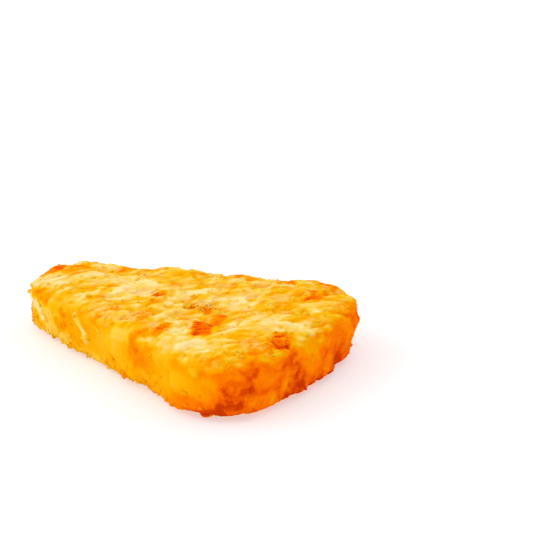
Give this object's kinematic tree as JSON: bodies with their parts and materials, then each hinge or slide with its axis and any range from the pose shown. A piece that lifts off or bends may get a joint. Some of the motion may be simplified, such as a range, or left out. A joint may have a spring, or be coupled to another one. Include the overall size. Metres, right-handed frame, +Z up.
{
  "type": "hash brown",
  "caption": "Triangular fried hash brown: a flat wedge of grated potato with round corners, a lumpy golden crust and a browned lower rim, lying on its flat underside.",
  "frame": {"origin": "middle of the underside, where the part rests", "axes": "+X from the narrow tip towards the wide base, +Y to the left seen from the tip, +Z up out of the top face"},
  "size_m": [0.092, 0.0642, 0.0162],
  "materials": {
    "crust": "crisp fried potato crust, golden yellow to orange with pale cream shreds and brown spots, a slight oily sheen"
  },
  "bodies": {
    "root": {"hash_brown": "crust"}
  },
  "joints": []
}
